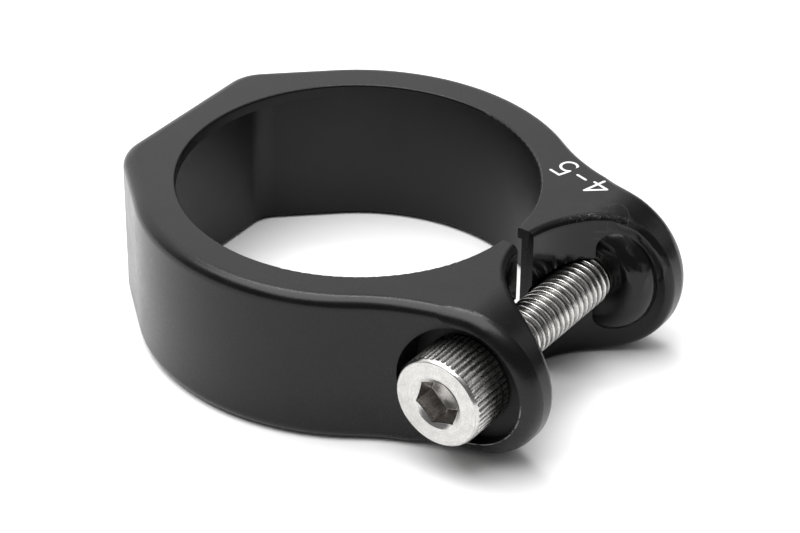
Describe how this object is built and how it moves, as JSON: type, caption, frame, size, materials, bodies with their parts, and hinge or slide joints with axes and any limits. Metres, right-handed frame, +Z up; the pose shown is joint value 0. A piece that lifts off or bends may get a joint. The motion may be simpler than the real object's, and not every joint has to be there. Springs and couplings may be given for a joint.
{
  "type": "seatpost clamp",
  "caption": "Split collar with a stop lip and a hollow between its two ears, closed by a socket head screw to clamp a bicycle seat tube onto its seat post.",
  "frame": {"origin": "on the axis of the bore, at the collar's bottom face, which rests on the surface it lies on", "axes": "+Z up along the bore towards the stop lip; -Y is the way the slit and the two ears face; the bolt lies along X with its head at -X"},
  "size_m": [0.042, 0.0495, 0.0152],
  "materials": {
    "black_anodised_aluminium": "black anodised, satin",
    "stainless_steel": "bright turned stainless steel with a knurled head and a rolled thread"
  },
  "bodies": {
    "collar": {"clamp_collar": "black_anodised_aluminium"},
    "bolt": {"clamp_bolt": "stainless_steel"}
  },
  "joints": [
    {"name": "bolt_turn", "type": "hinge", "parent": "collar", "child": "bolt", "pos_m": [0, -0.02095, 0.00795], "axis": [-1, 0, 0], "range_deg": [0, 2490]}
  ]
}
